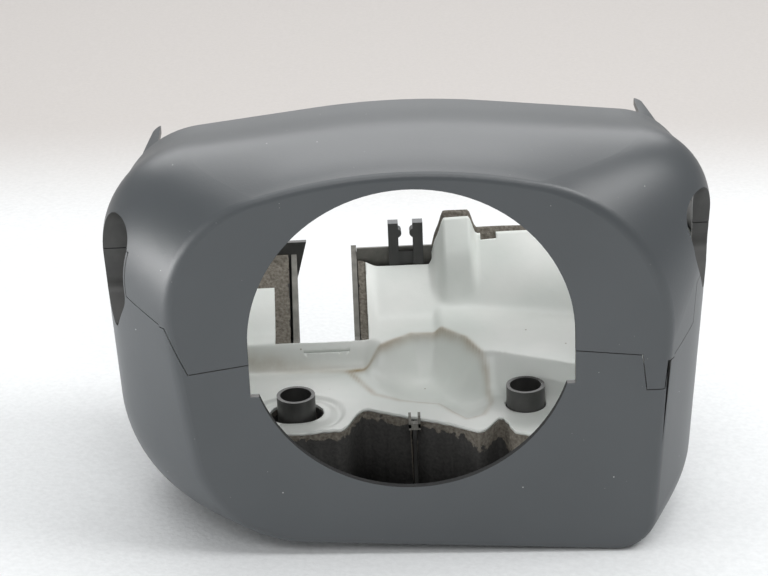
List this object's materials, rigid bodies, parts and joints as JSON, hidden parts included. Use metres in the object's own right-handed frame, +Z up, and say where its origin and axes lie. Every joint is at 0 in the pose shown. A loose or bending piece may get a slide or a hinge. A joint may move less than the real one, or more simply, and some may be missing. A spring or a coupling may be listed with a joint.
{
  "type": "steering column shroud",
  "caption": "Two-piece moulded shroud that closes round a steering column, with a round hub opening, side slots for switch stalks and a padded lower cover.",
  "frame": {"origin": "centre of the round column opening, on the outer plane of the front face", "axes": "+X to the right seen from the driver's seat, +Y back along the column, +Z up; -Y is the way the steering hub leaves the opening"},
  "size_m": [0.2301, 0.125, 0.1609],
  "materials": {
    "grey_plastic": "soft matt paint over a fine grain",
    "liner_skin": "satin formed film",
    "liner_foam": "open-cell foam, cut edges"
  },
  "bodies": {
    "root": {"upper_shroud": "grey_plastic", "lower_shroud": "grey_plastic", "liner_skin": "liner_skin", "liner_foam": "liner_foam"}
  },
  "joints": []
}
